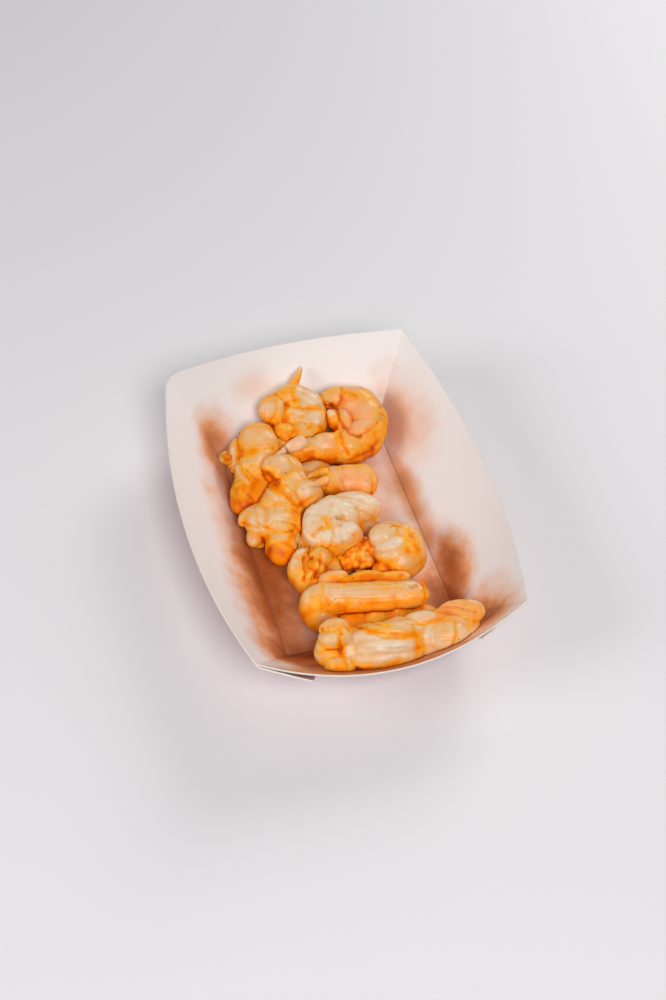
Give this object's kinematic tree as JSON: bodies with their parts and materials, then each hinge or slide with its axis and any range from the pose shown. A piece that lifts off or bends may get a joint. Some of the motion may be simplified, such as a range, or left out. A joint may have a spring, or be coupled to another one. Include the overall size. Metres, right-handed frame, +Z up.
{
  "type": "paper tray of boiled peeled shrimp",
  "caption": "Folded paper food tray with flared, bowed walls and glued corner flaps, holding a loose pile of curled, boiled and peeled shrimp tails in an orange sauce.",
  "frame": {"origin": "on the surface that the tray stands on, under the middle of the tray's floor, which is also the middle of its outline seen from above", "axes": "+Z up; +Y along the tray's longer side, towards the end with the shrimp whose tail fan points left; +X across it, to the right of someone looking along +Y"},
  "size_m": [0.0999, 0.139, 0.0277],
  "materials": {
    "board": "matt coated board, plain white inside, red gingham check on white outside",
    "flesh": null
  },
  "bodies": {
    "root": {"tray": "board", "shrimp_middle_left": "flesh", "shrimp_middle": "flesh", "shrimp_right": "flesh", "shrimp_roll": "flesh", "shrimp_front": "flesh", "shrimp_back_right": "flesh", "shrimp_left": "flesh", "shrimp_back_left": "flesh", "shrimp_middle_right": "flesh", "shrimp_small": "flesh", "shrimp_hidden": "flesh"}
  },
  "joints": []
}
